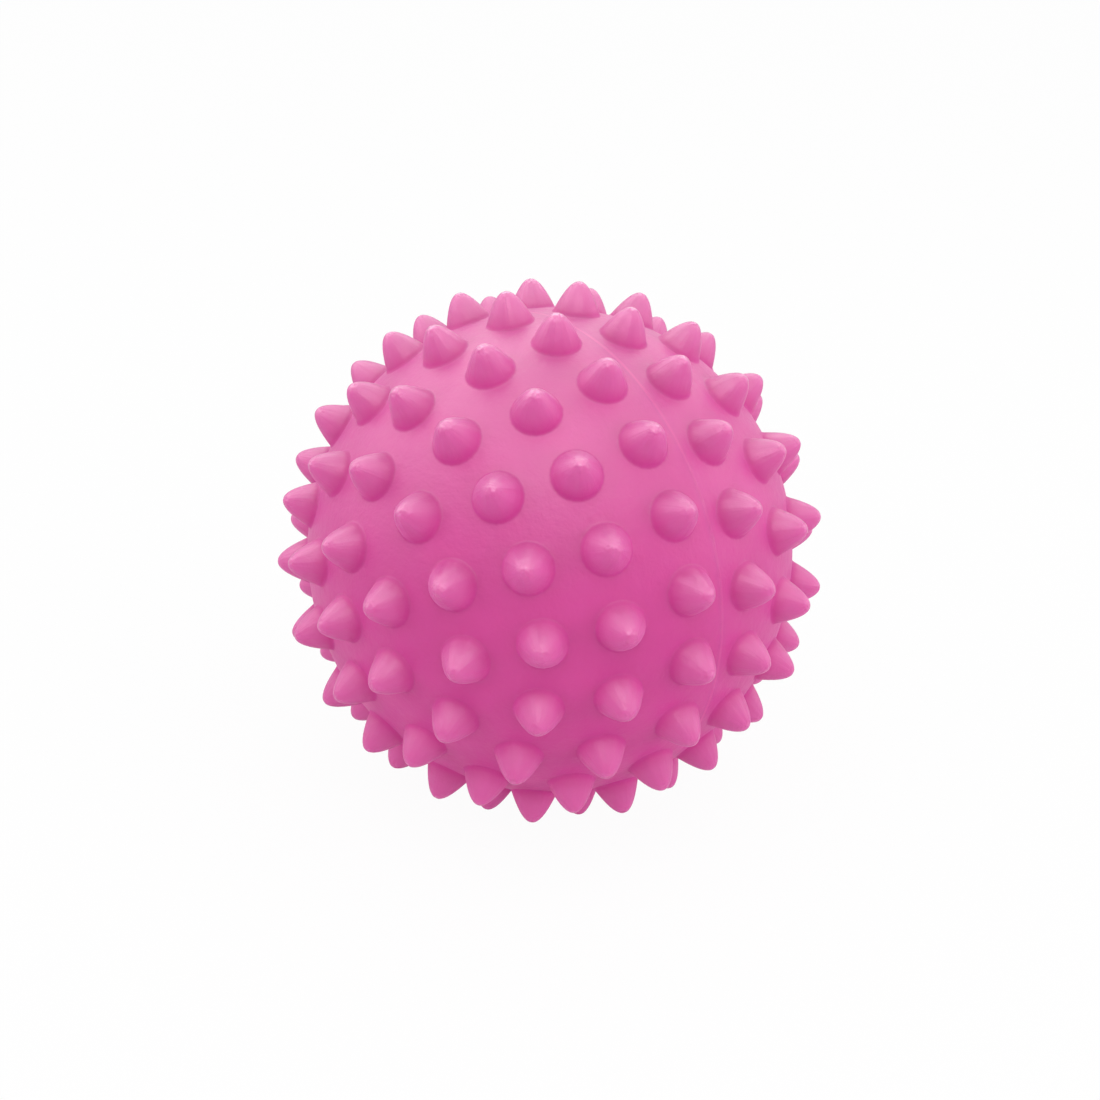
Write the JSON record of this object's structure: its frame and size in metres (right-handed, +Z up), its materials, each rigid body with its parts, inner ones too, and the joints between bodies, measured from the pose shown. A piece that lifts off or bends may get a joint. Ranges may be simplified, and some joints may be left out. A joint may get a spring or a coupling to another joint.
{
  "type": "spiky massage ball",
  "caption": "Hollow soft vinyl massage ball of two half shells covered in rows of round-tipped conical spikes, with a flush push-in air plug at one pole.",
  "frame": {"origin": "centre of the ball", "axes": "+Y along the mould axis, from the spiked front pole towards the air plug; +Z up as the ball lies on a table; +X to the right when the spiked pole is looked at from the front"},
  "size_m": [0.089, 0.0882, 0.0886],
  "materials": {
    "pink_soft_vinyl": "satin, slightly translucent soft vinyl",
    "white_plug_plastic": "satin off-white plastic"
  },
  "bodies": {
    "ball": {"front_half_shell": "pink_soft_vinyl", "back_half_shell": "pink_soft_vinyl"},
    "plug": {"valve_plug": "white_plug_plastic"}
  },
  "joints": [
    {"name": "plug_pull", "type": "slide", "parent": "ball", "child": "plug", "axis": [0, 1, 0], "range_m": [0, 0.01]}
  ]
}
